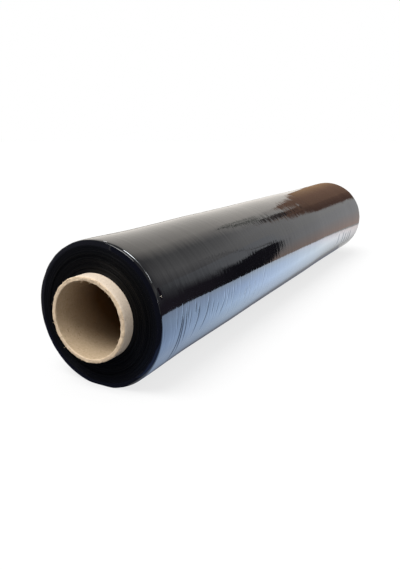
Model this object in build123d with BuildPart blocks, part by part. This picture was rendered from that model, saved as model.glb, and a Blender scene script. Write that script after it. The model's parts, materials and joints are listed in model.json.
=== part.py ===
"""Stretch wrap roll: black film wound on a paperboard core, lying on its side on a small flat spot.

The roll lies along Y. The origin is on the floor, under the middle of the roll, and +Z is up.
All sizes are in millimetres.
"""

import os
from math import cos, pi, radians, sin, sqrt

from build123d import *

# Core: a spiral-wound paperboard tube, cut square at both ends
CORE_BORE = 50.0  # inside diameter, which a dispenser's spindle goes through
CORE_WALL = 2.5
CORE_PROTRUSION = 10.0  # how far the core stands out of the film at each end
CORE_OUTER_BREAK = 0.6  # bevel of the cut rim's outer edge
CORE_INNER_BREAK = 0.4  # bevel of the cut rim's inner edge

# Film: all the turns together are one solid body
FILM_WIDTH = 500.0  # along the roll
FILM_BUILD = 19.7  # radial depth of the wound film, from the core to the outermost turn
SHOULDER_RADIUS = 2.4  # rounded corner where the outer turns meet the end
SHOULDER_FACETS = 3  # straight stretches that the rounded corner is drawn with
TURN_BAND_WIDTH = 1.6  # radial width of one visible band of turns at the end
TURN_STEP = 0.4  # how far one band of turns can stand back from the end
GAUGE_BAND_PITCH = 62.0  # length along the roll of one thick or thin band of film
GAUGE_BAND_DEPTH = 0.3  # how far the thinnest band lies below the thickest

# Tail: the free edge of the last turn, stuck down along the back of the roll
TAIL_LEDGE = 0.6  # height of the edge over the turn below it
TAIL_ANGLE = 150.0  # degrees round the roll from +X towards +Z

# Flat spot on which the soft roll lies
FLAT_WIDTH = 14.0

# Sizes that follow
UNEVEN_STEP = pi * (3 - sqrt(5))  # golden angle: whole steps of it never repeat
core_inner_radius = CORE_BORE / 2
core_outer_radius = core_inner_radius + CORE_WALL
core_length = FILM_WIDTH + 2 * CORE_PROTRUSION
film_radius = core_outer_radius + FILM_BUILD
film_end = FILM_WIDTH / 2
axis_height = sqrt(film_radius**2 - (FLAT_WIDTH / 2) ** 2)
turn_band_count = round((FILM_BUILD - SHOULDER_RADIUS) / TURN_BAND_WIDTH)
gauge_band_count = round(FILM_WIDTH / GAUGE_BAND_PITCH)

# Half-sections are drawn on this plane: its X runs along the roll and its Y outwards from the axis
half_section = Plane(origin=(0, 0, axis_height), x_dir=(0, 1, 0), z_dir=(1, 0, 0))
roll_axis = Axis((0, 0, axis_height), (0, 1, 0))


def uneven(step):
    """A value from 0 to 1 that looks irregular from one whole step to the next."""
    return 0.5 + 0.5 * sin(step * UNEVEN_STEP)


def end_points(first_step):
    """Outline of one end from the core outwards, as distances back from the end and radii."""
    band_width = (FILM_BUILD - SHOULDER_RADIUS) / turn_band_count
    points = []
    for band in range(turn_band_count):
        is_outermost = band == turn_band_count - 1
        back = 0 if is_outermost else TURN_STEP * uneven(first_step + band)
        lower = core_outer_radius + band * band_width
        points.append((back, lower))
        points.append((back, lower + band_width))
    for facet in range(1, SHOULDER_FACETS + 1):
        turn = pi / 2 * facet / SHOULDER_FACETS
        back = SHOULDER_RADIUS * (1 - cos(turn))
        points.append((back, film_radius - SHOULDER_RADIUS * (1 - sin(turn))))
    return points


def gauge_band_points():
    """Outline of the outermost turn between the shoulders, where thick and thin bands of film meet."""
    straight = FILM_WIDTH - 2 * SHOULDER_RADIUS
    points = []
    for band in range(1, gauge_band_count):
        along = straight * (band / gauge_band_count - 0.5)
        points.append((along, film_radius - GAUGE_BAND_DEPTH * uneven(band)))
    return points


# Core tube: one turn of the wall's section, with both edges of each cut rim bevelled
with BuildPart() as core_tube:
    with BuildSketch(half_section) as core_wall:
        with Locations((0, core_inner_radius + CORE_WALL / 2)):
            Rectangle(core_length, CORE_WALL)
        chamfer(core_wall.vertices().group_by(Axis.Y)[-1], CORE_OUTER_BREAK)
        chamfer(core_wall.vertices().group_by(Axis.Y)[0], CORE_INNER_BREAK)
    revolve(axis=roll_axis)

# Film roll: one turn of a section with stepped ends, round shoulders and a gently banded outside
with BuildPart() as film_roll:
    with BuildSketch(half_section):
        with BuildLine():
            near_end = [(back - film_end, radius) for back, radius in end_points(0)]
            far_end = [(film_end - back, radius) for back, radius in end_points(turn_band_count)]
            Polyline(*near_end, *gauge_band_points(), *reversed(far_end), close=True)
        make_face()
    revolve(axis=roll_axis)
    # The tail: below its free edge, the turn underneath shows as a narrow flat beside a ledge
    tail_outwards = (cos(radians(TAIL_ANGLE)), 0, sin(radians(TAIL_ANGLE)))
    tail = Plane(origin=(0, 0, axis_height), x_dir=(0, 1, 0), z_dir=tail_outwards)
    with BuildSketch(tail.offset(film_radius - TAIL_LEDGE)):
        Rectangle(2 * FILM_WIDTH, film_radius, align=(Align.CENTER, Align.MIN))
    extrude(amount=film_radius, mode=Mode.SUBTRACT)
    # The flat spot: the roll's own weight presses it flat where it meets the floor
    split(bisect_by=Plane.XY, keep=Keep.TOP)

os.makedirs("parts", exist_ok=True)
for name, piece in {"core_tube": core_tube, "film_roll": film_roll}.items():
    piece.part.label = name
    export_step(piece.part, f"parts/{name}.step")
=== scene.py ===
# %% [markdown]
# # A roll of stretch wrap
#
# The real object is a roll of glossy black film, wound on a paperboard tube, lying on its side on
# a white table. There are only two pieces, so almost all of the likeness is in how light runs over
# them: a shiny skin with fine lines round it, a dull stack of film edges at each end, and dry paper.
#
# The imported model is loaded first. It is the measuring stick for everything below: each size is
# read from it, and no size is typed in twice.

# %% Load the frame
import json
from math import atan2, cos, degrees, exp, hypot, pi, radians, sin, sqrt

import bmesh
import bpy
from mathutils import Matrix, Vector


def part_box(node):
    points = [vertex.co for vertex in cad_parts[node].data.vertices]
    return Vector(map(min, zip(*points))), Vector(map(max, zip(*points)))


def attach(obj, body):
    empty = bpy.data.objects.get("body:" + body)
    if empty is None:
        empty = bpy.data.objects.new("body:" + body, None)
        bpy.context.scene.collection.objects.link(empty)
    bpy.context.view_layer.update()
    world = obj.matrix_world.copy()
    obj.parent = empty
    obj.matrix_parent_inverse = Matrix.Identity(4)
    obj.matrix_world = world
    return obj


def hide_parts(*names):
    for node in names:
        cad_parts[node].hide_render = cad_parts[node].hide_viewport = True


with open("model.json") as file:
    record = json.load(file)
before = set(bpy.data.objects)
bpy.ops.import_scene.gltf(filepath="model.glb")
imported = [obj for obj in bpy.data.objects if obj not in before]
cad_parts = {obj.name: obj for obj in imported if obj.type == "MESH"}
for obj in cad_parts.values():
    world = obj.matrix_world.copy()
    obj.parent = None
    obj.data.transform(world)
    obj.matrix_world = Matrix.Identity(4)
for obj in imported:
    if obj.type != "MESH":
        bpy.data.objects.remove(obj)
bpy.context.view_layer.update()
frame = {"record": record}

bore = next(mount for mount in frame["record"]["mounts"] if mount["name"] == "core_bore")
film_low, film_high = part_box("film_roll")
core_low, core_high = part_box("core_tube")

MM = 0.001
axis_height = bore["pos_m"][2]
bore_radius = bore["dims"]["r_mm"] * MM
core_radius = (core_high.x - core_low.x) / 2
film_radius = (film_high.x - film_low.x) / 2
film_end = film_high.y
core_end = core_high.y
axis_point = Vector((0, 0, axis_height))
print("film radius", round(film_radius, 4), "core radius", round(core_radius, 4))
print("axis at", round(axis_height, 4))

# %% [markdown]
# ## Turning a piece on a lathe
#
# Both pieces are round, so both are made like turned work: half of the cross-section is drawn as a
# line of points, and the line is spun once round the roll's axis. The line is drawn by merging a
# small plane to one vertex and extruding that vertex from point to point. Spinning leaves a seam of
# doubled points and can turn the faces inwards, so the doubles are merged and the normals are
# worked out again.

# %% The lathe
DOUBLES = 0.001 * MM  # points closer than this are one point


def pick(*pieces):
    """Selects only these pieces, and makes the first one active."""
    bpy.ops.object.select_all(action="DESELECT")
    for piece in pieces:
        piece.select_set(True)
    bpy.context.view_layer.objects.active = pieces[0]


def rename(piece, name):
    """Gives a piece and its mesh the same name."""
    piece.name = name
    piece.data.name = name


def turn_on_axis(name, outline, columns):
    """Spins an outline of (place along the roll, radius) points round the roll's axis."""
    bpy.ops.object.select_all(action="DESELECT")
    along, radius = outline[0]
    bpy.ops.mesh.primitive_plane_add(size=MM, location=(0, along, axis_height + radius))
    piece = bpy.context.object
    rename(piece, name)
    bpy.ops.object.transform_apply(location=True, rotation=True, scale=True)
    bpy.ops.object.mode_set(mode="EDIT")
    bpy.ops.mesh.merge(type="CENTER")
    for next_along, next_radius in outline[1:]:
        step = (0, next_along - along, next_radius - radius)
        bpy.ops.mesh.extrude_region_move(TRANSFORM_OT_translate={"value": step})
        along, radius = next_along, next_radius
    bpy.ops.mesh.select_all(action="SELECT")
    bpy.ops.mesh.spin(steps=columns, angle=2 * pi, center=axis_point, axis=(0, 1, 0))
    bpy.ops.mesh.select_all(action="SELECT")
    bpy.ops.mesh.remove_doubles(threshold=DOUBLES)
    bpy.ops.mesh.normals_make_consistent(inside=False)
    bpy.ops.object.mode_set(mode="OBJECT")
    print(name, "turned:", len(outline), "points in the outline,", len(piece.data.polygons), "faces")
    return piece


def round_place(point):
    """Angle round the roll in degrees, from +X towards +Z, and distance from the axis."""
    up = point.z - axis_height
    return degrees(atan2(up, point.x)), hypot(point.x, up)


# %% [markdown]
# ## The film's outline
#
# Seen from the end, hundreds of turns show as fine rings, and no two stand at quite the same depth.
# The outline climbs from the core to the shoulder in narrow bands. Each broad band has the same
# depth as in the frame, and the narrow bands inside it differ a little more. At the shoulder the
# outermost turns curve over. Along the outside the film is a little thicker in some places than in
# others, and thickest towards its two edges, so the line rises and dips gently.

# %% Draw one end of the film
UNEVEN_STEP = pi * (3 - sqrt(5))  # golden angle: whole steps of it never repeat
SHOULDER_RADIUS = 2.4 * MM
SHOULDER_DEPTH = 1.1 * MM  # along the roll the corner is tighter than across it
SHOULDER_STEPS = 6
END_FLARE = 0.6 * MM  # how much thicker the roll is at its ends
FLARE_LENGTH = 60 * MM
BROAD_BANDS = 11
BROAD_STEP = 0.4 * MM  # how far a broad band of turns can stand back
NARROW_BANDS = 3  # narrow bands in each broad band
NARROW_STEP = 0.14 * MM
BAND_GAP = 0.1  # share of a narrow band that the slope on each side of it takes


def uneven(step):
    """A value from 0 to 1 that looks irregular from step to step, and unlike at its multiples."""
    return 0.5 + 0.5 * sin(step * UNEVEN_STEP)


def flare(back):
    """How far the film stands proud of its radius at a distance from its nearer end."""
    return END_FLARE * (0.5 - 0.5 * cos(pi * max(1 - back / FLARE_LENGTH, 0)))


def turns_outline(first_step):
    """Points (distance back from the end, radius) from the core to the outside of one end."""
    width = (film_radius - SHOULDER_RADIUS - core_radius) / (BROAD_BANDS * NARROW_BANDS)
    points = []
    for band in range(BROAD_BANDS * NARROW_BANDS):
        broad = band // NARROW_BANDS
        is_outermost = broad == BROAD_BANDS - 1
        back = 0 if is_outermost else BROAD_STEP * uneven(first_step + broad)
        back += NARROW_STEP * uneven(5 * first_step + 7 * band)
        lower = core_radius + band * width
        points.append((back, lower + BAND_GAP * width))
        points.append((back, lower + (1 - BAND_GAP) * width))
    for step in range(SHOULDER_STEPS + 1):
        turn = pi / 2 * step / SHOULDER_STEPS
        back = SHOULDER_DEPTH * (1 - cos(turn))
        rise = (SHOULDER_RADIUS + flare(back)) * sin(turn)
        points.append((back, film_radius - SHOULDER_RADIUS + rise))
    return points


near_end = [(back - film_end, radius) for back, radius in turns_outline(0)]
far_end = [(film_end - back, radius) for back, radius in turns_outline(BROAD_BANDS)]
print("film outline:", len(near_end), "points at each end")

# %% Draw the outside and turn the film
GAUGE_BANDS = 8
GAUGE_DEPTH = 0.3 * MM
# Rows along the outside: up to so many millimetres from the near end they are so far apart
ROW_STEPS = [(6, 0.6), (16, 1.6), (84, 0.32), (396, 3.4), (482, 1.1), (500, 1.6)]
LAST_STEPS = 1.5  # the last row stays so many steps away from the far shoulder
FILM_COLUMNS = 168


def gauge_dip(along):
    """How far the outermost turn lies below the full radius, smooth from band to band."""
    straight = 2 * (film_end - SHOULDER_DEPTH)
    place = (along / straight + 0.5) * GAUGE_BANDS
    band = min(max(int(place), 0), GAUGE_BANDS - 1)
    ease = 0.5 - 0.5 * cos(pi * (place - band))
    dips = [0 if edge in (0, GAUGE_BANDS) else uneven(edge) for edge in (band, band + 1)]
    return GAUGE_DEPTH * (dips[0] + (dips[1] - dips[0]) * ease)


def outside_outline():
    """Points along the outside from the near shoulder to the far one, closest where creases go."""
    last = film_end - SHOULDER_DEPTH
    points = []
    along = -film_end + SHOULDER_DEPTH
    for reach, step in ROW_STEPS:
        while along < min(reach * MM - film_end, last - LAST_STEPS * step * MM):
            along += step * MM
            points.append((along, film_radius - gauge_dip(along) + flare(film_end - abs(along))))
    return points


film_outline = [*near_end, *outside_outline(), *reversed(far_end)]
film_outline.append(film_outline[0])
film = turn_on_axis("film", film_outline, FILM_COLUMNS)

# %% [markdown]
# ## Soft unevenness
#
# Film is wound under tension, so its outside isn't a perfect cylinder: it has long, low waves and
# finer ones, all drawn out round the roll and narrow along it. At the shoulders the last turns are
# loose, so the corner is uneven too. A Displace modifier pushes points along their normals by a
# cloud texture. The texture is read through an empty, and the empty's scale sets how long the clouds
# are in each direction. The empty and the texture go afterwards.

# %% A helper that presses clouds into a piece
def mark_points(piece, name, weight):
    """A vertex group whose weights come from a function of the place."""
    group = piece.vertex_groups.new(name=name)
    for vertex in piece.data.vertices:
        group.add([vertex.index], weight(vertex.co), "REPLACE")


def press_clouds(piece, group, sizes, height, detail):
    """Displaces a vertex group by clouds of the given sizes along X, Y and Z."""
    clouds = bpy.data.textures.new("clouds", "CLOUDS")
    clouds.noise_scale = 1
    clouds.noise_depth = detail
    bpy.ops.object.select_all(action="DESELECT")
    bpy.ops.object.empty_add(location=axis_point)
    stretch = bpy.context.object
    stretch.scale = sizes
    bpy.context.view_layer.objects.active = piece
    waves = piece.modifiers.new("waves", "DISPLACE")
    waves.texture = clouds
    waves.texture_coords = "OBJECT"
    waves.texture_coords_object = stretch
    waves.vertex_group = group
    waves.strength = height
    waves.mid_level = 0.5
    bpy.ops.object.modifier_apply(modifier="waves")
    bpy.data.objects.remove(stretch)
    bpy.data.textures.remove(clouds)
    print(piece.name, group, "displaced by up to", round(height / MM / 2, 3), "mm each way")


# %% Wind unevenness into the film
SHOULDER_FADE = 6 * MM  # the outside's unevenness dies away over this length at each shoulder
CORNER_LENGTH = 3 * MM  # the shoulder's own unevenness reaches this far along the roll
OUTSIDE_FROM = film_radius - 1.5 * GAUGE_DEPTH  # only points farther out than this are outside
SLACK_MIDDLE = 56  # degrees round the roll
SLACK_HALF = 42
TAUT_SHARE = 0.3  # of the unevenness, where the turns are taut
# Sizes of the clouds along X, Y and Z, their height, and how many times finer clouds are added
LONG_WAVES = ((160 * MM, 45 * MM, 160 * MM), 0.24 * MM, 1)
SHORT_WAVES = ((70 * MM, 11 * MM, 70 * MM), 0.06 * MM, 1)
CORNER_WAVES = ((5 * MM, 40 * MM, 5 * MM), 1.0 * MM, 2)


def outside_weight(place):
    """1 on the outside of the roll, falling to 0 at the shoulders and the ends."""
    if round_place(place)[1] < OUTSIDE_FROM:
        return 0
    return min(max((film_end - SHOULDER_DEPTH - abs(place.y)) / SHOULDER_FADE, 0), 1)


def near_share(place, middle, half):
    """1 at an angle round the near end, falling to 0 at half degrees on both sides of it."""
    from_middle = abs(round_place(place)[0] - middle) / half
    return cos(pi / 2 * from_middle) if from_middle < 1 and place.y < 0 else 0


def slackness(place):
    """1 where the last turns are slackest, on the upper right of the near end."""
    return near_share(place, SLACK_MIDDLE, SLACK_HALF)


def shoulder_weight(place):
    """The unevenness of the corner between the end and the outside, falling to 0 on both."""
    inwards = (film_radius - round_place(place)[1]) / SHOULDER_RADIUS
    along = (film_end - abs(place.y)) / CORNER_LENGTH
    looseness = TAUT_SHARE + (1 - TAUT_SHARE) * slackness(place)
    return max(1 - inwards, 0) * max(1 - along, 0) * looseness


mark_points(film, "outside", outside_weight)
mark_points(film, "shoulders", shoulder_weight)
press_clouds(film, "outside", *LONG_WAVES)
press_clouds(film, "outside", *SHORT_WAVES)
press_clouds(film, "shoulders", *CORNER_WAVES)

# %% [markdown]
# ## The slack shoulder and the creases
#
# On the upper right of the near end the last turns are slack and sag over the corner, so the shoulder
# is wider there and catches the light. On the upper left it is only a little softer. Close to both
# ends the outer turn has a few thin creases that run partly round the roll, each one a narrow groove
# that leans and bows. Both are small moves of points, so they are made by moving the points in edit
# mode, by a function that says where each point goes.

# %% Let the slack shoulder sag
SAG_DEPTH = 1.4 * MM
SAG_REACH = 2.2 * MM
SOFT_MIDDLE = 128  # degrees round the roll, where the shoulder is only a little softer
SOFT_HALF = 44
SOFT_SHARE = 0.3


def towards_axis(point, distance):
    """The point moved straight towards the roll's axis."""
    outwards = Vector((point.x, 0, point.z - axis_height)).normalized()
    return point - outwards * distance


def move_points(piece, new_place):
    """Moves every point of a piece to where a function puts it."""
    pick(piece)
    bpy.ops.object.mode_set(mode="EDIT")
    mesh = bmesh.from_edit_mesh(piece.data)
    for vertex in mesh.verts:
        vertex.co = new_place(vertex.co)
    bmesh.update_edit_mesh(piece.data)
    bpy.ops.object.mode_set(mode="OBJECT")


def sagged(place):
    """Where a point lies after the shoulder has sagged inwards and back."""
    from_corner = hypot(place.y + film_end, round_place(place)[1] - film_radius) / SAG_REACH
    share = slackness(place) + SOFT_SHARE * near_share(place, SOFT_MIDDLE, SOFT_HALF)
    sag = SAG_DEPTH * share * exp(-from_corner * from_corner) / sqrt(2)
    return towards_axis(place, sag) + Vector((0, sag, 0))


move_points(film, sagged)
print("shoulder sags by up to", round(SAG_DEPTH / MM, 2), "mm")

# %% Where the creases run
# Top and bottom in degrees round the roll, places at the top, middle and bottom in millimetres from
# the near end, and how deep the crease is
NEAR_CREASES = [
    (10, -54, 26.5, 21.4, 22.8, 1.0),
    (4, -40, 26.6, 24.6, 27.0, 0.9),
    (8, -28, 30.4, 29.0, 29.3, 0.6),
    (8, -8, 18.8, 18.0, 17.4, 0.4),
    (7, -5, 33.0, 31.6, 31.0, 0.5),
    (3, -14, 36.0, 34.6, 33.6, 0.4),
    (6, -4, 42.6, 41.8, 41.0, 0.7),
    (5, -28, 47.2, 44.4, 39.5, 0.8),
    (5, -27, 60.4, 56.6, 50.5, 0.9),
    (0, -14, 67.0, 66.0, 64.6, 0.5),
    (-3, -18, 74.5, 73.4, 71.6, 0.5),
    (-5, -21, 83.5, 81.2, 78.0, 0.7),
]
FAR_CREASES = [
    (-4, -30, 398, 401, 405, 0.7),
    (-5, -34, 420, 424, 430, 0.8),
    (-8, -38, 433, 438, 446, 1.0),
    (-8, -40, 446, 452, 461, 0.8),
    (-8, -40, 456, 463, 474, 1.0),
]
print("creases:", len(NEAR_CREASES), "near and", len(FAR_CREASES), "far")

# %% Press in the creases
NEAR_CREASE = (0.4 * MM, 0.5 * MM)  # half-width and depth
FAR_CREASE = (1.1 * MM, 0.8 * MM)
CREASE_FROM = film_radius - 3 * GAUGE_DEPTH  # only points farther out than this are creased
FADE_IN = 5  # a crease reaches its depth over one part in so many of its length
FADE_OUT = 3


def crease_depth(angle, from_near_end, creases, half_width, full_depth):
    """Depth of the given creases at one place of the outside."""
    depth = 0
    for top, bottom, top_place, middle_place, bottom_place, share in creases:
        down = (top - angle) / (top - bottom)
        if not 0 < down < 1:
            continue
        bow = middle_place - (top_place + bottom_place) / 2
        place = top_place + (bottom_place - top_place) * down + 4 * bow * down * (1 - down)
        across = (from_near_end - place * MM) / half_width
        fade = min(FADE_IN * down, FADE_OUT * (1 - down), 1)
        depth += full_depth * share * fade * exp(-across * across)
    return depth


def creased(place):
    """Where a point lies after the creases are pressed in."""
    angle, radius = round_place(place)
    if radius <= CREASE_FROM:
        return place
    from_near_end = place.y + film_end
    depth = crease_depth(angle, from_near_end, NEAR_CREASES, *NEAR_CREASE)
    depth += crease_depth(angle, from_near_end, FAR_CREASES, *FAR_CREASE)
    return towards_axis(place, depth)


move_points(film, creased)
print("creases are up to", round(FAR_CREASE[1] / MM, 2), "mm deep")

# %% [markdown]
# ## The tail and the flat spot
#
# The free edge of the film, the tail, lies along the upper back, where the last turn stops and the
# turn under it shows as a low ledge. At the near end it is pulled tight, so the ledge fades out. A
# plane through the axis cuts a row of points for the edge, and the points past it move inwards. Last,
# the roll is soft and rests on a flat, so the part below the table is cut off and closed.

# %% Make the tail's ledge
TAIL_ANGLE = 150.0
TAIL_LEDGE = 0.6 * MM
TAIL_EDGE = 0.4  # degrees over which the edge drops
TAIL_REACH = 60  # degrees past the edge in which points can lie too high
TAUT_LENGTH = 60 * MM  # from the near end, along which the ledge grows to its full height
CUT_THRESHOLD = 0.001 * MM  # points this close to a cutting plane count as lying on it


def cut_film(point, normal, **settings):
    """Cuts the film along a plane."""
    pick(film)
    bpy.ops.object.mode_set(mode="EDIT")
    bpy.ops.mesh.select_all(action="SELECT")
    bpy.ops.mesh.bisect(plane_co=point, plane_no=normal, threshold=CUT_THRESHOLD, **settings)
    bpy.ops.object.mode_set(mode="OBJECT")


def below_tail(place):
    """Where a point lies when the last turn has ended: on the flat that the tail leaves."""
    angle, radius = round_place(place)
    past_edge = angle - TAIL_ANGLE
    if not TAIL_EDGE / 2 < past_edge < TAIL_REACH:
        return place
    ledge = TAIL_LEDGE * min(max((place.y + film_end) / TAUT_LENGTH, 0), 1)
    floor_radius = (film_radius - ledge) / cos(radians(past_edge))
    return towards_axis(place, max(radius - floor_radius, 0))


tail_edge = radians(TAIL_ANGLE + TAIL_EDGE)
cut_film(axis_point, (-sin(tail_edge), 0, cos(tail_edge)))
move_points(film, below_tail)
print("tail ledge at", TAIL_ANGLE, "degrees round the roll")

# %% Cut the flat spot
FILM_SMOOTH = 30  # edges sharper than so many degrees stay sharp


def smooth_piece(piece, degrees_kept):
    """Smooths a piece, except at edges that are sharper than an angle, and counts its triangles."""
    pick(piece)
    bpy.ops.object.shade_smooth_by_angle(angle=radians(degrees_kept))
    piece.vertex_groups.clear()
    piece.data.calc_loop_triangles()
    print(piece.name + ":", len(piece.data.loop_triangles), "triangles")


cut_film((0, 0, 0), (0, 0, 1), clear_inner=True, use_fill=True)
smooth_piece(film, FILM_SMOOTH)

# %% [markdown]
# ## The core
#
# The core is a tube of paperboard plies, cut with a saw. Its outline goes round the wall's section:
# the bevelled rim at the near end, the outside, the far rim and the inside. The saw has pushed the
# innermost ply a little into the bore as a burr, and on the right of the near end it came out a
# little askew. The cut leaves a furry edge, so the points of both rims are shaken by a fine cloud
# texture and by a coarser one. Only the last millimetres of the tube are cut into close rows,
# because the rest is under the film.

# %% Turn the core
OUTER_BREAK = 0.55 * MM
INNER_BREAK = 0.4 * MM
BURR = 0.3 * MM
RIM_ROWS = 4
CORE_COLUMNS = 240
WALL_ROW = 2.5 * MM
WALL_ROWS = 6


def rim_outline():
    """Points (distance back from the end, radius) from the inside of one rim to its outside."""
    lowest = bore_radius - BURR + INNER_BREAK
    highest = core_radius - OUTER_BREAK
    points = [(WALL_ROW * row + INNER_BREAK, bore_radius) for row in range(WALL_ROWS, 0, -1)]
    points.append((INNER_BREAK, bore_radius - BURR))
    points += [(0, lowest + (highest - lowest) * row / RIM_ROWS) for row in range(RIM_ROWS + 1)]
    points += [(WALL_ROW * row + OUTER_BREAK, core_radius) for row in range(WALL_ROWS + 1)]
    return points


near_rim = [(back - core_end, radius) for back, radius in rim_outline()]
far_rim = [(core_end - back, radius) for back, radius in rim_outline()]
core_outline = [*near_rim, *reversed(far_rim), near_rim[0]]
core = turn_on_axis("core", core_outline, CORE_COLUMNS)

# %% Cut the near rim askew
SAW_SKEW = 1.5 * MM  # how much farther back the saw has come out on the right of the near rim


def saw_skew(place):
    """How far the near rim is cut back at a place round it."""
    return SAW_SKEW * max(place.x, 0) / core_radius if place.y < 0 else 0


def skewed(place):
    """Where a point of the core lies after the askew cut, most at the rim and less farther in."""
    from_rim = (core_end - abs(place.y)) / (WALL_ROW * WALL_ROWS)
    return place + Vector((0, saw_skew(place) * max(1 - from_rim, 0), 0))


move_points(core, skewed)
print("near rim is askew by", round(SAW_SKEW / MM, 2), "mm")

# %% Fray the rims
FUZZ = ((1.6 * MM, 1.6 * MM, 1.6 * MM), 0.9 * MM, 3)  # sizes, height and detail of the clouds
NOTCHES = ((5 * MM, 5 * MM, 5 * MM), 0.65 * MM, 1)
CORE_SMOOTH = 52


def rim_weight(place):
    """1 on the cut rims, falling to 0 over one row of the wall."""
    from_rim = core_end - saw_skew(place) - abs(place.y)
    return min(max(1 - from_rim / WALL_ROW, 0), 1)


mark_points(core, "rims", rim_weight)
press_clouds(core, "rims", *FUZZ)
press_clouds(core, "rims", *NOTCHES)
smooth_piece(core, CORE_SMOOTH)

# %% [markdown]
# ## Torn fibres
#
# The saw tears small tufts of paper out of the rim. Each is a thin sliver, so one is made from a
# cone with its tip drawn out and bent over, and copies of it are set round both rims, each one
# turned and sized differently. They are joined to one piece.

# %% Make one tuft
TUFT_LENGTH = 1.6 * MM
TUFT_RADIUS = 0.16 * MM
TUFT_SIDES = 5
TUFT_WAIST = 0.6  # of its radius, halfway up
TUFT_TIP = 0.25  # of the waist
TUFT_BEND = (0.35 * TUFT_LENGTH, 0, 0.4 * TUFT_LENGTH)
FACES_UP = 0.9  # a face whose normal has this much of Z looks up

bpy.ops.object.select_all(action="DESELECT")
bpy.ops.mesh.primitive_cone_add(
    vertices=TUFT_SIDES,
    radius1=TUFT_RADIUS,
    radius2=TUFT_WAIST * TUFT_RADIUS,
    depth=TUFT_LENGTH / 2,
    location=(0, 0, TUFT_LENGTH / 4),
)
tuft = bpy.context.object
bpy.ops.object.transform_apply(location=True, rotation=True, scale=True)
bpy.ops.object.mode_set(mode="EDIT")
bpy.ops.mesh.select_mode(type="FACE")
bpy.ops.mesh.select_all(action="DESELECT")
tuft_mesh = bmesh.from_edit_mesh(tuft.data)
for face in tuft_mesh.faces:
    face.select_set(face.normal.z > FACES_UP)
bmesh.update_edit_mesh(tuft.data)
bpy.ops.mesh.extrude_region_move(TRANSFORM_OT_translate={"value": TUFT_BEND})
bpy.ops.transform.resize(value=(TUFT_TIP, TUFT_TIP, TUFT_TIP))
bpy.ops.object.mode_set(mode="OBJECT")
print("tuft:", len(tuft.data.polygons), "faces")

# %% Set tufts round both rims
TUFTS_PER_RIM = 34
TUFT_SINK = 0.25 * MM  # how deep a tuft's root is in the board
TUFT_SCATTER = 0.8  # of the step from tuft to tuft
TUFT_SIZES = (0.5, 0.9)  # the shortest, and how much longer the longest is
OUTER_EVERY = 3  # one tuft in so many grows from the outer edge
# Radius of the roots, and the strongest lean away from the axis
INNER_TUFTS = (bore_radius + 0.15 * MM, -1.2)
OUTER_TUFTS = (core_radius - 0.35 * MM, 0.7)
TUFT_SMOOTH = 40


def set_tuft(number, end):
    """Copies the tuft to one place of a rim: end is -1 at the near end and 1 at the far one."""
    angle = 2 * pi * (number + TUFT_SCATTER * uneven(3 * number)) / TUFTS_PER_RIM
    radius, full_lean = OUTER_TUFTS if number % OUTER_EVERY == 0 else INNER_TUFTS
    outwards = Vector((cos(angle), 0, sin(angle)))
    direction = Vector((0, end, 0)) + outwards * full_lean * uneven(2 * number)
    place = axis_point + outwards * radius + Vector((0, end * (core_end - TUFT_SINK), 0))
    place.y += saw_skew(place)
    pick(tuft)
    bpy.ops.object.duplicate()
    copy = bpy.context.object
    copy.location = place
    copy.rotation_euler = direction.to_track_quat("Z", "X").to_euler()
    copy.scale = (1, 1, TUFT_SIZES[0] + TUFT_SIZES[1] * uneven(5 * number))
    return copy


tufts = [set_tuft(number, end) for number in range(TUFTS_PER_RIM) for end in (-1, 1)]
bpy.data.objects.remove(tuft)
pick(*tufts)
bpy.ops.object.transform_apply(location=True, rotation=True, scale=True)
bpy.ops.object.join()
rim_fibres = bpy.context.object
rename(rim_fibres, "rim_fibres")
smooth_piece(rim_fibres, TUFT_SMOOTH)
print("rim_fibres are", len(tufts), "tufts")

# %% [markdown]
# ## Helpers for materials
#
# Every finish below is a small tree of nodes. A few helpers make a tree read like a sum: each adds one
# node and gives back the socket that its result comes out of, and the next helper takes that socket
# as one of its inputs. An input can be a plain value or a socket. A value is typed in, and a socket
# is linked.

# %% Node helpers
def set_inputs(node, inputs):
    """Sets a node's inputs by name or number: sockets are linked, and other values typed in."""
    for name, value in inputs.items():
        if isinstance(value, bpy.types.NodeSocket):
            node.id_data.links.new(value, node.inputs[name])
        else:
            node.inputs[name].default_value = value


def add_node(tree, kind, inputs, **settings):
    """Adds a node with its settings and inputs, and gives its outputs."""
    node = tree.nodes.new(kind)
    for attribute, value in settings.items():
        setattr(node, attribute, value)
    set_inputs(node, inputs)
    return node.outputs


def empty_tree(owner):
    """The owner's own node tree, cleared."""
    owner.use_nodes = True
    owner.node_tree.nodes.clear()
    return owner.node_tree


def object_place(tree):
    """The place on the piece, in its own coordinates."""
    return add_node(tree, "ShaderNodeTexCoord", {})["Object"]


# %% Sums and noise
def split(tree, vector):
    """The X, Y and Z of a vector."""
    return add_node(tree, "ShaderNodeSeparateXYZ", {"Vector": vector})


def calc(tree, operation, *values):
    """The result of one sum."""
    return add_node(tree, "ShaderNodeMath", dict(enumerate(values)), operation=operation)["Value"]


def map_range(tree, value, low, high, to_low=0.0, to_high=1.0):
    """A value moved from one range to another, and held inside it."""
    ranges = {"From Min": low, "From Max": high, "To Min": to_low, "To Max": to_high}
    return add_node(tree, "ShaderNodeMapRange", {"Value": value, **ranges})["Result"]


def noise(tree, place, scale, detail, roughness=0.5, dimensions="3D"):
    """A cloudy value from about 0.3 to 0.7, over a place or, in one dimension, over a number."""
    inputs = {"Scale": scale, "Detail": detail, "Roughness": roughness}
    inputs["W" if dimensions == "1D" else "Vector"] = place
    return add_node(tree, "ShaderNodeTexNoise", inputs, noise_dimensions=dimensions)["Fac"]


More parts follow.
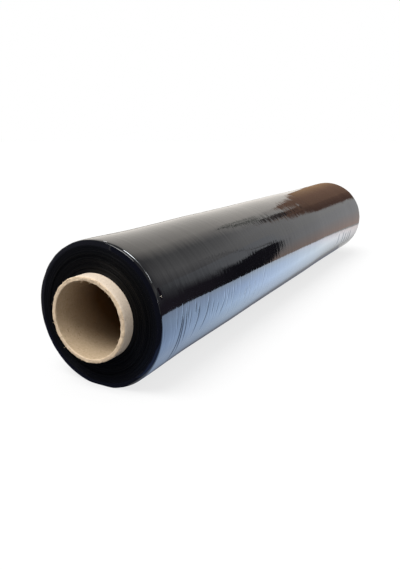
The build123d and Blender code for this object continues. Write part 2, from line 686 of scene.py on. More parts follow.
# %% Colour and bump helpers
def ramp_of(tree, value, stops):
    """The colour of a value, on a ramp with the given (value, colour) stops."""
    ramp = tree.nodes.new("ShaderNodeValToRGB")
    while len(ramp.color_ramp.elements) < len(stops):
        ramp.color_ramp.elements.new(1.0)
    for element, (position, colour) in zip(ramp.color_ramp.elements, stops):
        element.position = position
        element.color = (*colour, 1)
    set_inputs(ramp, {"Fac": value})
    return ramp.outputs["Color"]


def mix(tree, first, second, factor=1.0, blend="MIX"):
    """Two colours put together."""
    inputs = {"Factor": factor, "A": first, "B": second}
    return add_node(tree, "ShaderNodeMix", inputs, data_type="RGBA", blend_type=blend)["Result"]


def bump(tree, height, distance, strength=1.0, normal=None, invert=False):
    """A normal that is tilted by the slope of a height, on top of another one if it is given."""
    inputs = {"Height": height, "Distance": distance, "Strength": strength}
    if normal is not None:
        inputs["Normal"] = normal
    return add_node(tree, "ShaderNodeBump", inputs, invert=invert)["Normal"]


def new_finish(name):
    """A material with only its Principled shader: the material, its tree and the shader."""
    finish = bpy.data.materials.new(name)
    tree = empty_tree(finish)
    shader = tree.nodes.new("ShaderNodeBsdfPrincipled")
    add_node(tree, "ShaderNodeOutputMaterial", {"Surface": shader.outputs["BSDF"]})
    return finish, tree, shader


def new_group(name, inputs, outputs):
    """An empty group of nodes with the given sockets: the group, and what comes in."""
    group = bpy.data.node_groups.new(name, "ShaderNodeTree")
    for socket, kind in inputs.items():
        group.interface.new_socket(socket, in_out="INPUT", socket_type=kind)
    for socket in outputs:
        group.interface.new_socket(socket, in_out="OUTPUT", socket_type="NodeSocketFloat")
    return group, add_node(group, "NodeGroupInput", {})


# %% [markdown]
# ## Ring marks
#
# The stacked film edges and the plies of the core both show as rings round the roll's axis. One
# node group makes them for both: it measures the distance from the axis and reads a noise that
# depends on that distance alone, so each value makes a whole ring. A little of a second, coarse
# noise bends the rings, because no winding is perfectly round.

# %% Ring marks group
BENDS_PER_METRE = 40.0

ring_inputs = {"Vector": "NodeSocketVector", "Spacing": "NodeSocketFloat", "Waver": "NodeSocketFloat"}
ring_marks, entry = new_group("ring_marks", ring_inputs, ["Rings", "Distance"])
flattened = {"Vector": entry["Vector"], "Location": (0, 0, -axis_height), "Scale": (1, 0, 1)}
centre = add_node(ring_marks, "ShaderNodeMapping", flattened)["Vector"]
distance = add_node(ring_marks, "ShaderNodeVectorMath", {0: centre}, operation="LENGTH")["Value"]
bends = noise(ring_marks, centre, BENDS_PER_METRE, detail=1.0)
bent = calc(ring_marks, "MULTIPLY_ADD", bends, entry["Waver"], distance)
apart = calc(ring_marks, "DIVIDE", bent, entry["Spacing"])
rings = noise(ring_marks, apart, scale=1.0, detail=3.0, roughness=0.65, dimensions="1D")
add_node(ring_marks, "NodeGroupOutput", {"Rings": rings, "Distance": distance})
print("group", ring_marks.name, "has", len(ring_marks.nodes), "nodes")


def rings_of(tree, spacing, waver):
    """Ring marks so far apart, bent by so much."""
    inputs = {"Vector": object_place(tree), "Spacing": spacing, "Waver": waver}
    return add_node(tree, "ShaderNodeGroup", inputs, node_tree=ring_marks)


# %% [markdown]
# ## The film's skin
#
# The skin is black plastic with a real gloss. What makes it look like wound film and not like a
# painted pipe is the fine lines round it, left by the die that the film came through: they break
# every reflection into a comb. A noise that is stretched round the roll gives them, as a bump of a
# few hundredths of a millimetre. On the lower side of the near half the last turn is slack and has a
# hatch of short puckers: the same kind of noise, but only its peaks. A third noise varies the gloss.

# %% Film skin: puckers
HOOP_ROUGHNESS = 0.55
PUCKERS = (80.0, 420.0, 0.5)  # waves per metre across the roll and along it, and detail
PUCKER_PEAKS = (0.6, 0.72)
PUCKER_HEIGHT = 0.13 * MM
# Shares of the puckers' height over a range above the floor and over a range along the roll
PUCKER_HEIGHTS = (20 * MM, 54 * MM)
HEIGHT_SHARES = [(0.0, 0.0), (0.5, 1.0), (0.75, 1.0), (1.0, 0.0)]
PUCKER_PLACES = (-film_end, -50 * MM)
PLACE_SHARES = [(0.0, 0.2), (0.25, 0.25), (0.45, 1.0), (0.65, 1.0), (1.0, 0.0)]


def hoop_noise(tree, across, along, detail):
    """A noise with so many waves per metre across the roll and along it."""
    stretch = {"Vector": object_place(tree), "Scale": (across, along, across)}
    place = add_node(tree, "ShaderNodeMapping", stretch)["Vector"]
    return noise(tree, place, scale=1.0, detail=detail, roughness=HOOP_ROUGHNESS)


def share_of(tree, value, limits, stops):
    """A share between 0 and 1 over a range, from (place in the range, share) stops."""
    greys = [(place, (share, share, share)) for place, share in stops]
    return ramp_of(tree, map_range(tree, value, *limits), greys)


film_skin, tree, skin = new_finish("film_skin")
skin_place = split(tree, object_place(tree))
lower_share = share_of(tree, skin_place["Z"], PUCKER_HEIGHTS, HEIGHT_SHARES)
near_half_share = share_of(tree, skin_place["Y"], PUCKER_PLACES, PLACE_SHARES)
slack_share = calc(tree, "MULTIPLY", lower_share, near_half_share)
peaks = map_range(tree, hoop_noise(tree, *PUCKERS), *PUCKER_PEAKS)
puckers = calc(tree, "MULTIPLY", peaks, slack_share)
puckered = bump(tree, puckers, PUCKER_HEIGHT, invert=True)
print("film_skin has puckers from", PUCKER_HEIGHTS[0], "to", PUCKER_HEIGHTS[1], "m over the floor")

# %% Film skin: die lines, colour and gloss
DIE_LINES = (26.0, 250.0, 1.8)
DIE_HEIGHT = 0.075 * MM
GLOSS_BANDS = (6.0, 90.0, 3.0)
GLOSS_RANGE = (0.3, 0.7, 0.035, 0.09)  # values of the noise, and the roughness for each
SKIN_BLACK = (0.0025, 0.0025, 0.004, 1)

lined = bump(tree, hoop_noise(tree, *DIE_LINES), DIE_HEIGHT, normal=puckered)
skin_roughness = map_range(tree, hoop_noise(tree, *GLOSS_BANDS), *GLOSS_RANGE)
set_inputs(skin, {"Base Color": SKIN_BLACK, "IOR": 1.5, "Roughness": skin_roughness, "Normal": lined})
print("film_skin has", len(tree.nodes), "nodes")

# %% [markdown]
# ## The film's edges
#
# At the ends we look at the cut edges of the turns. Thousands of thin edges swallow light between
# them, so the end is dull and darker than the skin, with faint rings where a turn stands out. It is
# blackest next to the core, and towards the shoulder it has a painted bluish sheen, where the
# rounded outer turns would catch light.

# %% Film edges
EDGE_RINGS = (0.7 * MM, 1.2 * MM)  # spacing and waver
RING_TONES = [(0.35, (0.0002, 0.0002, 0.0002)), (0.72, (0.0055, 0.0055, 0.0056))]
# Painted sheen: a bluish tone added towards the shoulder, in place of the light the rounded outer
# turns catch
EDGE_SHEEN_TONES = [(0.0, (0.0, 0.0, 0.0)), (1.0, (0.0018, 0.0021, 0.0038))]
EDGE_SHEEN_WIDTH = 8 * MM
RING_HEIGHT = 0.08 * MM

film_edges, tree, edges = new_finish("film_edges")
turns = rings_of(tree, *EDGE_RINGS)
ring_tone = ramp_of(tree, turns["Rings"], RING_TONES)
edge_sheen_limits = (film_radius - EDGE_SHEEN_WIDTH, film_radius - SHOULDER_RADIUS)
edge_sheen_tone = ramp_of(tree, map_range(tree, turns["Distance"], *edge_sheen_limits), EDGE_SHEEN_TONES)
set_inputs(edges, {
    "Base Color": mix(tree, ring_tone, edge_sheen_tone, blend="ADD"),
    "Roughness": 0.4,
    "Specular IOR Level": 0.1,
    "Normal": bump(tree, turns["Rings"], RING_HEIGHT, strength=0.6),
})
print("film_edges has", len(tree.nodes), "nodes")

# %% Put both finishes on the film
GLOSSY_RIM = 2.7 * MM  # the outermost turns lie over the corner, and show their gloss

film.data.materials.append(film_skin)
film.data.materials.append(film_edges)
for face in film.data.polygons:
    if round_place(face.center)[1] < film_radius - GLOSSY_RIM:
        face.material_index = 1
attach(film, "root")
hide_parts("film_roll")
print("film rides on root, with", len(film.data.materials), "finishes")

# %% [markdown]
# ## Paperboard
#
# The core is recycled board: dry, matt, full of short fibres and a few darker flecks. Three faces of
# it show, and each is its own finish: the pale smooth outer ply, the cut rim with its plies as
# rings, and the browner inner ply, which has painted shade deep in the tube, where little light
# reaches. Low on the wall, where more light reaches, the painted shade begins deeper. All three
# share one grain, so the grain is a group.

# %% Paper grain group
FLECKS_PER_METRE = 900.0
FLECK_PEAKS = (0.66, 0.76)
FINENESS = 700.0  # of the grain, in waves per metre
GRAIN_HEIGHT = 0.12 * MM

grain_inputs = {"Vector": "NodeSocketVector", "Fineness": "NodeSocketFloat"}
paper_grain, entry = new_group("paper_grain", grain_inputs, ["Grain", "Flecks"])
grain = noise(paper_grain, entry["Vector"], entry["Fineness"], detail=5.0, roughness=0.7)
fleck_noise = noise(paper_grain, entry["Vector"], FLECKS_PER_METRE, detail=1.0)
flecks = map_range(paper_grain, fleck_noise, *FLECK_PEAKS)
add_node(paper_grain, "NodeGroupOutput", {"Grain": grain, "Flecks": flecks})
print("group", paper_grain.name, "has", len(paper_grain.nodes), "nodes")


def new_paper(name, low_colour, high_colour, fleck_colour):
    """A paper finish with grain, flecks and bump: the material, its tree, the shader and colour."""
    finish, tree, shader = new_finish(name)
    inputs = {"Vector": object_place(tree), "Fineness": FINENESS}
    paper = add_node(tree, "ShaderNodeGroup", inputs, node_tree=paper_grain)
    tone = ramp_of(tree, paper["Grain"], [(0.3, low_colour), (0.7, high_colour)])
    colour = mix(tree, tone, (*fleck_colour, 1), paper["Flecks"])
    set_inputs(shader, {
        "Base Color": colour,
        "Roughness": 0.9,
        "Specular IOR Level": 0.2,
        "Normal": bump(tree, paper["Grain"], GRAIN_HEIGHT, strength=0.6),
    })
    print("paper finish", name)
    return finish, tree, shader, colour


# %% Outer ply and cut rim
PLY_RINGS = (0.45 * MM, 0.7 * MM)  # spacing and waver
PLY_TONES = [(0.3, (0.78, 0.74, 0.7)), (0.6, (1.0, 1.0, 1.0))]

outer_ply = new_paper("outer_ply", (0.68, 0.565, 0.445), (0.82, 0.69, 0.55), (0.5, 0.4, 0.28))[0]
cut_rim, tree, shader, colour = new_paper(
    "cut_rim", (0.68, 0.53, 0.37), (0.84, 0.67, 0.485), (0.46, 0.33, 0.21)
)
ply_tone = ramp_of(tree, rings_of(tree, *PLY_RINGS)["Rings"], PLY_TONES)
set_inputs(shader, {"Base Color": mix(tree, colour, ply_tone, blend="MULTIPLY")})

# %% Inner ply
# Painted shade darkens the inner ply deep in the tube, where little light reaches
DEEP_SHADE_FROM = 5 * MM  # depth in the tube where the painted shade begins
DEEP_SHADE_FULL = 41 * MM
LIT_BELOW = 10 * MM  # on the lowest part of the wall, where more light reaches, the painted shade begins so much deeper
DEEP_SHADE = (0.16, 0.078, 0.024, 1)

inner_ply, tree, shader, colour = new_paper(
    "inner_ply", (0.475, 0.355, 0.225), (0.59, 0.46, 0.315), (0.34, 0.245, 0.15)
)
places = split(tree, object_place(tree))
from_middle = calc(tree, "ABSOLUTE", places["Y"])
deeper = map_range(tree, places["Z"], axis_height - bore_radius, axis_height, LIT_BELOW, 0.0)
deep_shade_place = calc(tree, "ADD", from_middle, deeper)
deep_shade_share = map_range(tree, deep_shade_place, core_end - DEEP_SHADE_FROM, core_end - DEEP_SHADE_FULL)
set_inputs(shader, {"Base Color": mix(tree, colour, DEEP_SHADE, deep_shade_share)})

# %% Put the paper on the core
RIM_FACING = 0.35  # a face whose normal has this much of Y belongs to the cut rim

for finish in (outer_ply, cut_rim, inner_ply):
    core.data.materials.append(finish)
for face in core.data.polygons:
    if abs(face.normal.y) > RIM_FACING:
        face.material_index = 1
    elif round_place(face.center)[1] < (bore_radius + core_radius) / 2:
        face.material_index = 2
rim_fibres.data.materials.append(cut_rim)
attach(core, "root")
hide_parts("core_tube")
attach(rim_fibres, "root")
print("core and rim_fibres ride on root")

# %% [markdown]
# ## The studio: floor, world and light
#
# The roll lies on a white floor under one soft light from above, with a pale world all round. A pale
# floor that bounces too much light would wash out the lower side of the core, so the floor's own
# colour is a middle grey, and what it lacks to white is added for camera and mirror rays only. The
# shadow stays, because the floor still takes part of its brightness from the light.

# %% Floor
FLOOR_SIZE = 60
FLOOR_GREY = 0.2
FLOOR_TO_CAMERA = 0.75
FLOOR_TO_MIRROR = 0.5

bpy.context.scene.view_settings.view_transform = "Standard"


def seen_level(tree, rest, camera_gain, mirror_gain):
    """A level for all rays, with more of it for camera or transmission rays and for mirror rays."""
    path = add_node(tree, "ShaderNodeLightPath", {})
    direct = calc(tree, "MAXIMUM", path["Is Camera Ray"], path["Is Transmission Ray"])
    to_camera = calc(tree, "MULTIPLY_ADD", direct, camera_gain, rest)
    return calc(tree, "MULTIPLY_ADD", path["Is Glossy Ray"], mirror_gain, to_camera)


bpy.ops.object.select_all(action="DESELECT")
bpy.ops.mesh.primitive_plane_add(size=FLOOR_SIZE, location=(0, 0, 0))
floor = bpy.context.object
floor.name = "floor"
floor_white, tree, white = new_finish("floor_white")
set_inputs(white, {
    "Base Color": (FLOOR_GREY, FLOOR_GREY, FLOOR_GREY, 1),
    "Roughness": 1.0,
    "Specular IOR Level": 0.0,
    "Emission Color": (1, 1, 1, 1),
    "Emission Strength": seen_level(tree, 0.0, FLOOR_TO_CAMERA, FLOOR_TO_MIRROR),
})
floor.data.materials.append(floor_white)
print("floor:", FLOOR_SIZE, "m wide")

# %% World and overhead light
AMBIENT = 0.68
WORLD_TO_CAMERA = 1.0
WALL_TO_MIRROR = 0.8  # low down, where the film mirrors the walls
CEILING_TO_MIRROR = 0.36
WALL_TOP = sin(radians(22))
CEILING_FROM = sin(radians(35))
LIGHT_FROM = Vector((-0.1, -0.42, 1.0))
LIGHT_ENERGY = 2.6
LIGHT_SPREAD = 40

world = bpy.data.worlds.new("studio")
bpy.context.scene.world = world
tree = empty_tree(world)
upwards = split(tree, add_node(tree, "ShaderNodeTexCoord", {})["Generated"])["Z"]
mirror_gains = (WALL_TO_MIRROR - AMBIENT, CEILING_TO_MIRROR - AMBIENT)
mirror_gain = map_range(tree, upwards, WALL_TOP, CEILING_FROM, *mirror_gains)
world_level = seen_level(tree, AMBIENT, WORLD_TO_CAMERA - AMBIENT, mirror_gain)
sky = add_node(tree, "ShaderNodeBackground", {"Color": (1, 1, 1, 1), "Strength": world_level})
add_node(tree, "ShaderNodeOutputWorld", {"Surface": sky["Background"]})

bpy.ops.object.light_add(type="SUN", location=LIGHT_FROM)
overhead = bpy.context.object
overhead.name = "overhead"
overhead.data.energy = LIGHT_ENERGY
overhead.data.angle = radians(LIGHT_SPREAD)
overhead.rotation_euler = LIGHT_FROM.to_track_quat("Z", "Y").to_euler()
print("world: ambient", AMBIENT, "and overhead light", LIGHT_ENERGY, "W/m2")

# %% [markdown]
# ## The studio: what the film mirrors
#
# A black glossy thing is only seen by what it mirrors, so a photographer sets cards round it. Here
# they are seen by mirror rays alone, and light nothing. Each card is a flat face whose corners are
# given in the way that suits it: on the floor, on an upright board beside the roll, or far off as
# directions. Most cards shine evenly. Some fade out along X, so that their edge is soft.

# %% Make a card
def shine(tree, colour, strength=1.0):
    """Light of a colour."""
    return add_node(tree, "ShaderNodeEmission", {"Color": colour, "Strength": strength})["Emission"]


def glow(name, colour, fade=None):
    """A finish that only shines. It can fade in from one place along X to another."""
    finish = bpy.data.materials.new(name)
    tree = empty_tree(finish)
    surface = shine(tree, (*colour, 1))
    if fade:
        share = map_range(tree, split(tree, object_place(tree))["X"], *fade)
        clear = add_node(tree, "ShaderNodeBsdfTransparent", {})["BSDF"]
        surface = add_node(tree, "ShaderNodeMixShader", {0: share, 1: clear, 2: surface})["Shader"]
    add_node(tree, "ShaderNodeOutputMaterial", {"Surface": surface})
    return finish


def mirror_card(name, corners, finish):
    """A flat card with the given corners, which only mirror rays see."""
    bpy.ops.object.select_all(action="DESELECT")
    bpy.ops.mesh.primitive_circle_add(vertices=len(corners), fill_type="NGON")
    card = bpy.context.object
    card.name = name
    next_corner = iter(corners)
    move_points(card, lambda place: next(next_corner))
    card.data.materials.append(finish)
    card.visible_camera = False
    card.visible_diffuse = False
    card.visible_shadow = False
    card.visible_transmission = False
    card.visible_volume_scatter = False
    print("card", name)


# %% Set the corners of a card
CARD_LIFT = 0.2 * MM  # cards on the floor lie so far above one another
FAR_FROM = Vector((0.02, 0.18, 0.08))
FAR_DISTANCE = 3.0


def on_floor(places, layer):
    """Corners on the floor, from (x, y) places."""
    return [Vector((x, y, layer * CARD_LIFT)) for x, y in places]


def on_wall(x_from, x_to, y, top):
    """Corners of a wall that stands across Y."""
    return [Vector((x, y, z)) for x, z in ((x_from, 0), (x_to, 0), (x_to, top), (x_from, top))]


def far_off(outline, distance=FAR_DISTANCE):
    """Corners far off, from (azimuth, elevation) pairs in degrees from +X and above the floor."""
    corners = []
    for azimuth, elevation in outline:
        level = cos(radians(elevation))
        across = level * cos(radians(azimuth))
        along = level * sin(radians(azimuth))
        corners.append(FAR_FROM + Vector((across, along, sin(radians(elevation)))) * distance)
    return corners


# %% [markdown]
# ## The bright sheet
#
# Along the right side lies a bright cool sheet, which gives the pale blue band on the lower half of
# the film. Its tone changes along the roll from blue to grey. Close to the roll it is in the roll's
# own shade, so its glow rises slowly from there and is less blue.

# %% Bright sheet: glow
SHEET_LEVEL = 3.0
SHEET_GLOW = (0.031, 0.066)  # from the middle of the roll, where the glow begins and where it is full
SHEET_SKEW = (1.0, -0.03, 0.0)  # towards the far end the glow begins a little farther out
SHEET_RISE = 0.8  # a power below 1: the glow rises fast at first
SHEET_FALL = (0.11, 0.2, SHEET_LEVEL, 0.88 * SHEET_LEVEL)
WARM_SKEW = (1.0, -0.1, 0.0)
WARM_RANGE = (0.05, 0.095)
WARM_TINT = (0.93, 0.87, 0.78, 1)
NO_TINT = (1, 1, 1, 1)
TINT_RANGE = (-0.2, 0.4)  # along the roll, where the first tone lies and where the last one does
SHEET_TONES = [
    (0.0, (0.207, 0.38, 0.717)),
    (0.17, (0.35, 0.567, 0.93)),
    (0.33, (0.38, 0.58, 0.95)),
    (0.5, (0.417, 0.59, 0.87)),
    (0.67, (0.455, 0.58, 0.75)),
    (0.83, (0.5, 0.54, 0.65)),
    (1.0, (0.367, 0.333, 0.367)),
]


def along_direction(tree, vector, direction):
    """How far a vector goes along a direction."""
    inputs = {0: vector, 1: direction}
    return add_node(tree, "ShaderNodeVectorMath", inputs, operation="DOT_PRODUCT")["Value"]


sheet_glow = bpy.data.materials.new("sheet_glow")
tree = empty_tree(sheet_glow)
place = object_place(tree)
place_axes = split(tree, place)
risen = map_range(tree, along_direction(tree, place, SHEET_SKEW), *SHEET_GLOW)
eased = calc(tree, "POWER", risen, SHEET_RISE)
level = calc(tree, "MULTIPLY", eased, map_range(tree, place_axes["X"], *SHEET_FALL))
tones = ramp_of(tree, map_range(tree, place_axes["Y"], *TINT_RANGE), SHEET_TONES)
warm_share = map_range(tree, along_direction(tree, place, WARM_SKEW), *WARM_RANGE)
tint = mix(tree, WARM_TINT, NO_TINT, warm_share)
light = shine(tree, mix(tree, tones, tint, blend="MULTIPLY"), level)
clear = add_node(tree, "ShaderNodeBsdfTransparent", {})["BSDF"]
both = add_node(tree, "ShaderNodeAddShader", {0: light, 1: clear})["Shader"]
add_node(tree, "ShaderNodeOutputMaterial", {"Surface": both})
print("sheet_glow has", len(tree.nodes), "nodes")

# %% Bright sheet: card
SHEET_NEAR = Vector((0.277, 0.0, 0.0))  # two points of the sheet's outer edge
SHEET_FAR = Vector((0.103, 0.44, 0.0))
EDGE_BEFORE = 0.65  # how far the straight edge runs on before the first point and past it
EDGE_PAST = 0.23
BENT_EDGE = [(0.146, 0.3), (0.096, 0.4), (0.06, 0.5)]  # farther on the edge bends towards the roll
UNDER_NEAR = (0.0, -0.6)  # the inner edge lies under the middle of the roll
UNDER_FAR = (0.0, 0.5)

edge_run = (SHEET_FAR - SHEET_NEAR).normalized()
edge_ends = [SHEET_NEAR - edge_run * EDGE_BEFORE, SHEET_NEAR + edge_run * EDGE_PAST]
sheet_places = [UNDER_NEAR, *(end.xy for end in edge_ends), *BENT_EDGE, UNDER_FAR]
mirror_card("bright_sheet", on_floor(sheet_places, 1), sheet_glow)

# %% [markdown]
# ## The board with the dark flag
#
# At the sheet's outer edge stands a board. A dark flag on its near half gives the black tongue along
# the film. The flag's top is soft near the front and crisp farther on, and a noise along the edge
# makes its teeth. Small cards in front of it shape its tip, the thin light streak that runs up from
# there, and the dark spot and the glint at the near shoulder. Behind it the board is grey.

# %% Dark flag
FLAG_FROM = -0.3  # along the sheet's edge, from SHEET_NEAR
FLAG_TO_LOW = 0.258
FLAG_TO_HIGH = 0.322
FLAG_HEIGHT = 0.18
SOFT_TO_CRISP = (0.09, 0.19)  # along the edge, where the soft top ends and where the crisp one begins
FLAG_DARK_TO = (0.12, 0.147)  # height up to which it is dark, where it is soft and where crisp
FLAG_LIGHT_FROM = (0.205, 0.16)
TOOTH_HEIGHT = 0.1  # how uneven the flag's top edge is
TEETH_PER_METRE = 52.0
TEETH_DETAIL = 1.5
FARTHER_RANGE = (0.07, 0.17)  # along the edge, from the first of two tones to the second
DARK_TONES = ((0.11, 0.09, 0.12, 1), (0.03, 0.028, 0.035, 1))
UPPER_TONES = ((0.32, 0.34, 0.36, 1), (0.74, 0.77, 0.82, 1))


def on_board(places, back=0.0):
    """Corners over the sheet's outer edge, or so far behind it, from (run, height) places."""
    behind = Vector((edge_run.y, -edge_run.x, 0)) * back
    return [SHEET_NEAR + edge_run * run + behind + Vector((0, 0, height)) for run, height in places]


flag_tones = bpy.data.materials.new("flag_tones")
tree = empty_tree(flag_tones)
place = object_place(tree)
start = {0: place, 1: SHEET_NEAR}
from_start = add_node(tree, "ShaderNodeVectorMath", start, operation="SUBTRACT")["Vector"]
run = along_direction(tree, from_start, edge_run)
teeth = noise(tree, run, TEETH_PER_METRE, TEETH_DETAIL, dimensions="1D")
toothed = calc(tree, "MULTIPLY_ADD", teeth, TOOTH_HEIGHT, split(tree, place)["Z"])
dark_to = map_range(tree, run, *SOFT_TO_CRISP, *FLAG_DARK_TO)
light_from = map_range(tree, run, *SOFT_TO_CRISP, *FLAG_LIGHT_FROM)
farther = map_range(tree, run, *FARTHER_RANGE)
climb = map_range(tree, toothed, dark_to, light_from)
flag_tone = mix(tree, mix(tree, *DARK_TONES, farther), mix(tree, *UPPER_TONES, farther), climb)
add_node(tree, "ShaderNodeOutputMaterial", {"Surface": shine(tree, flag_tone)})
flag_places = [(FLAG_FROM, 0), (FLAG_TO_LOW, 0), (FLAG_TO_HIGH, FLAG_HEIGHT), (FLAG_FROM, FLAG_HEIGHT)]
mirror_card("dark_flag", on_board(flag_places), flag_tones)

# %% Tip, streak, spot and glint in front of the flag
BOARD_BACK = 4 * MM  # cards behind one another stand so far apart
STREAK_PLACES = [
    (0.208, 0.235), (0.222, 0.181), (0.246, 0.131), (0.272, 0.112),
    (0.274, 0.117), (0.25, 0.139), (0.226, 0.19), (0.214, 0.238),
]
TIP_PLACES = [
    (0.198, 0.092), (0.206, 0.1), (0.217, 0.102), (0.232, 0.106), (0.249, 0.112), (0.266, 0.109),
    (0.278, 0.103), (0.285, 0.095), (0.273, 0.071), (0.262, 0.05), (0.21, 0.05),
]
SPOT_PLACES = [
    (0.0755, 0.19), (0.0755, 0.163), (0.073, 0.154), (0.0665, 0.142), (0.0605, 0.135),
    (0.0555, 0.122), (0.052, 0.11), (0.047, 0.101), (0.036, 0.101), (0.036, 0.19),
]
GLINT_PLACES = [(0.0395, 0.12), (0.042, 0.12), (0.042, 0.125), (0.0395, 0.125)]
for name, places, layers, colour in (
    ("flag_tip", TIP_PLACES, 0.5, (0.03, 0.028, 0.035)),
    ("flag_streak", STREAK_PLACES, 1, (0.4, 0.4, 0.41)),
    ("flag_spot", SPOT_PLACES, 0.5, (0.05, 0.03, 0.05)),
    ("flag_glint", GLINT_PLACES, 1, (22.0, 20.0, 17.0)),
):
    mirror_card(name, on_board(places, -layers * BOARD_BACK), glow(name, colour))

# %% Grey board behind the flag
BOARD_FROM = 0.2
BOARD_TO = 1.2
BOARD_HEIGHT = 0.12
BOARD_TONES = ((0.82, 0.63, 0.56, 1), (0.78, 0.78, 0.8, 1))  # at the floor and higher up
BOARD_CLIMB = 0.6 * BOARD_HEIGHT

board_tones = bpy.data.materials.new("board_tones")
tree = empty_tree(board_tones)
board_climb = map_range(tree, split(tree, object_place(tree))["Z"], 0.0, BOARD_CLIMB)
board_tone = mix(tree, *BOARD_TONES, board_climb)
add_node(tree, "ShaderNodeOutputMaterial", {"Surface": shine(tree, board_tone)})
board_places = [(BOARD_FROM, 0), (BOARD_TO, 0), (BOARD_TO, BOARD_HEIGHT), (BOARD_FROM, BOARD_HEIGHT)]
mirror_card("grey_board", on_board(board_places, BOARD_BACK), board_tones)

# %% [markdown]
# ## Far cards
#
# Far behind stands a light wall, which the top of the film mirrors as a broad grey sheen, and in front
# of the wall a brown card with a ragged left edge. Its far part is more golden and its near part
# darker, and a dark finger and two thin tails run up from its corner. A grey card stands to the side.

# %% Light wall and far cards
LIGHT_WALL = (0.9, -4.0, 3.6, 4.2)  # its right and left ends, its place along Y and its height
BROWN = [
    (79.4, 4), (79.6, 9.5), (79.9, 11.2), (79.2, 13.6), (78.6, 14.8), (78.4, 16.4), (78.8, 18.4),
    (80.2, 20.5), (81.2, 22.2), (83, 24.4), (85.3, 25.2), (87.8, 25.3), (88.4, 24.9), (88.2, 23.4),
    (87.3, 21.9), (89.2, 21.7), (92.3, 22.3), (93, 23), (96, 23.2), (98.1, 21.8), (99.8, 20.3),
    (102.2, 18.7), (104.7, 16.5), (109.1, 10.3), (109.6, 6.3), (109.3, -1),
]
GOLD = [(97, 0), (97, 18), (102, 17.5), (104.3, 15.6), (108.6, 9.8), (109.1, 6), (108.8, 0)]
SHADE = [
    (79.6, 4), (79.8, 9.5), (80, 11.4), (79.4, 13.6), (79, 16.4), (81.5, 20), (92, 19), (92, 4),
]
FINGER = [
    (83, 24.6), (85.3, 25.5), (87.8, 25.6), (88.4, 25.2), (88.1, 23.6), (87.3, 22),
    (85.7, 21.2), (82.6, 21.1), (82, 22.5),
]
LOWER_TAIL = [
    (94.6, 31.8), (93.8, 30), (92.1, 28.5), (91.7, 27.2), (89.5, 25.9),
    (84.6, 25.4), (87.6, 27), (89.3, 28.7), (91.3, 30.3), (92.2, 32.1),
]
UPPER_TAIL = [
    (97.2, 30.3), (96.1, 27.9), (94.9, 26.3), (91.6, 25.8),
    (89.5, 25.9), (92.4, 26.8), (94.1, 28.3), (95.7, 30.6),
]
SIDE = [(66, 6), (66, 34), (40, 34), (40, 6)]
# Name, outline, how much nearer the card is, its colour, and where it fades
FAR_CARDS = [
    ("side_card", SIDE, 0, (0.4, 0.4, 0.42), (1.15, 1.6)),
    ("brown_card", BROWN, 0, (0.37, 0.22, 0.152), None),
    ("brown_gold", GOLD, 0.05, (0.47, 0.3, 0.175), (-0.4, -1.0)),
    ("brown_shade", SHADE, 0.05, (0.21, 0.12, 0.09), (-0.05, 0.45)),
    ("dark_finger", FINGER, 0.35, (0.1, 0.078, 0.072), None),
    ("dark_tail", LOWER_TAIL, 0.35, (0.3, 0.31, 0.28), None),
    ("dim_tail", UPPER_TAIL, 0.35, (0.55, 0.55, 0.5), None),
]
mirror_card("light_wall", on_wall(*LIGHT_WALL), glow("wall_light", (1.22, 1.16, 1.08), (0.55, -0.5)))
for name, outline, nearer, colour, fade in FAR_CARDS:
    mirror_card(name, far_off(outline, FAR_DISTANCE - nearer), glow(name, colour, fade))

# %% [markdown]
# ## Strips, shade and the dark front
#
# The glints along the slack shoulder come from a bent row of bright strips overhead, brightest at its
# two ends, and from two small lights. On the floor, a warm grey card behind the roll and a card of
# painted shadow on both sides of it give the dark edge where the roll meets the table. In front, a
# dark floor and a dark wall keep the film's end black, with one dim card beside it and one blue one
# at its foot.

# %% Overhead strips
STRIP_HALF = 4.5  # half of a strip's height in degrees
STRIP_DISTANCE = 2.5
STRIP_TINT = (0.96, 1.0, 1.04)
STRIP_PATH = [(27, 40), (36, 48), (50, 57), (70, 62.5), (88, 64), (106, 62)]
STRIP_LEVELS = [16.0, 1.5, 5.0, 22.0, 20.0]
GLINTS = [("glint_left", (136, 39), 2, 10.0), ("glint_right", (-14, 18), 4, 12.0)]

for number, level in enumerate(STRIP_LEVELS):
    start, stop = STRIP_PATH[number:number + 2]
    lower = [(azimuth, elevation - STRIP_HALF) for azimuth, elevation in (start, stop)]
    upper = [(azimuth, elevation + STRIP_HALF) for azimuth, elevation in (stop, start)]
    name = "strip_" + str(number)
    strip_glow = glow(name, [share * level for share in STRIP_TINT])
    mirror_card(name, far_off(lower + upper, STRIP_DISTANCE), strip_glow)
for name, (azimuth, elevation), half, level in GLINTS:
    square = ((-half, -half), (half, -half), (half, half), (-half, half))
    outline = [(azimuth + across, elevation + up) for across, up in square]
    mirror_card(name, far_off(outline, STRIP_DISTANCE), glow(name, (level, level, level)))

# %% Floor behind and contact shade
BACK_TONE = (0.3, 0.27, 0.22)
BACK_PLACES = [(-0.12, -0.3), (-0.12, 3.4), (-3.0, 3.4), (-3.0, -0.3)]
SHADE_TONE = (0.1, 0.12, 0.18)
SHADE_CLEAR = 0.042  # from the middle of the roll, where the shade under it ends
SHADE_FULL = 0.02

mirror_card("back_floor", on_floor(BACK_PLACES, 1), glow("back_floor", BACK_TONE))
# The shade cards are painted shadow: the film mirrors them as the roll's contact shadow on the floor
for name, side in (("shade_right", 1), ("shade_left", -1)):
    outer = side * SHADE_CLEAR
    shade = glow(name, SHADE_TONE, (outer, side * SHADE_FULL))
    shade_places = [(0, -film_end), (outer, -film_end), (outer, film_end), (0, film_end)]
    mirror_card(name, on_floor(shade_places, 0.5), shade)

# %% Dark front
FRONT_EDGE = -core_end - 4 * MM
FRONT_UNDER = -0.225  # under the near end the dark floor reaches in to here
FRONT_WALL = -1.6
FRONT_LEFT = -0.6
FRONT_RIGHT = 1.5
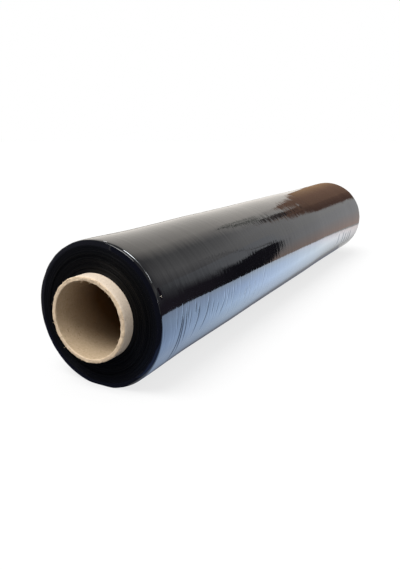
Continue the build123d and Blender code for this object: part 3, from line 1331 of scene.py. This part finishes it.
# The floor card's corners, with a notch that reaches in under the near end
FRONT_PLACES = [
    (FRONT_LEFT, FRONT_WALL), (FRONT_RIGHT, FRONT_WALL), (FRONT_RIGHT, FRONT_EDGE), (0.03, FRONT_EDGE),
    (0.0, FRONT_UNDER), (-0.09, FRONT_UNDER), (-0.12, FRONT_EDGE), (FRONT_LEFT, FRONT_EDGE),
]
WALL_RIGHT = 2.0
WALL_HEIGHT = 1.4
BESIDE_X = -0.14
BESIDE_PLACES = [(-0.27, 0), (-0.55, 0), (-0.55, 0.45), (-0.27, 0.45)]
SHEEN_PLACES = [(0.02, FRONT_EDGE), (0.02, -0.31), (0.14, -0.31), (0.14, FRONT_EDGE)]

front_dark = glow("front_dark", (0.055, 0.066, 0.12))
front_wall = on_wall(FRONT_LEFT, WALL_RIGHT, FRONT_WALL, WALL_HEIGHT)
beside = [Vector((BESIDE_X, y, z)) for y, z in BESIDE_PLACES]
mirror_card("front_floor", on_floor(FRONT_PLACES, 2), front_dark)
mirror_card("front_beside", beside, glow("front_beside", (0.16, 0.165, 0.21)))
mirror_card("front_sheen", on_floor(SHEEN_PLACES, 3), glow("front_sheen", (0.2, 0.3, 0.65)))
mirror_card("front_wall", front_wall, front_dark)

# %% [markdown]
# ## The camera
#
# The camera was found by fitting a pinhole view to the edges of the film and the core. It stands to
# the right of the near end, a little above the roll, and looks along it and down.

# %% Camera
CAMERA_PLACE = (0.2056, -0.48955, 0.15183)
CAMERA_LOOK = (-0.46674, 0.84366, -0.26541)
FOCAL_PIXELS = 526.42
PICTURE_HEIGHT = 570
SENSOR = 36.0
CLIP_START = 0.01

bpy.ops.object.camera_add(location=CAMERA_PLACE)
camera = bpy.context.object
camera.rotation_euler = Vector(CAMERA_LOOK).to_track_quat("-Z", "Y").to_euler()
camera.data.sensor_width = SENSOR
camera.data.lens = FOCAL_PIXELS * SENSOR / PICTURE_HEIGHT
camera.data.clip_start = CLIP_START
bpy.context.scene.camera = camera
print("lens", round(camera.data.lens, 2), "mm")
